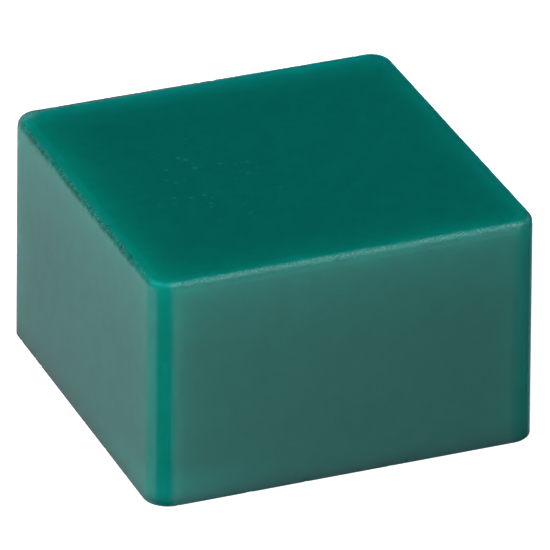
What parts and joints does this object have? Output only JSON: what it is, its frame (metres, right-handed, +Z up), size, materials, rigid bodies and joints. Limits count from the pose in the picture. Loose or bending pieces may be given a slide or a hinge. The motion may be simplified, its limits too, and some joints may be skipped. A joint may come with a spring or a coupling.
{
  "type": "cue chalk",
  "caption": "Squat square block of green cue chalk with rounded corners, a flat working face, slightly leaning walls and a plain paper label glued under its base.",
  "frame": {"origin": "centre of the surface it stands on, the underside of the paper label", "axes": "+Z up from the base to the working face; +X and +Y square to the side walls, with the front wall facing -Y"},
  "size_m": [0.0222, 0.0222, 0.0134],
  "materials": {
    "chalk": "fine pressed abrasive in a waxy binder, satin, deep teal green, faintly translucent at its edges",
    "paper": "uncoated off-white label paper, matt",
    "glue": "dried clear-amber paper glue, thin film"
  },
  "bodies": {
    "root": {"chalk_block": "chalk", "base_label": "paper", "label_glue": "glue"}
  },
  "joints": []
}
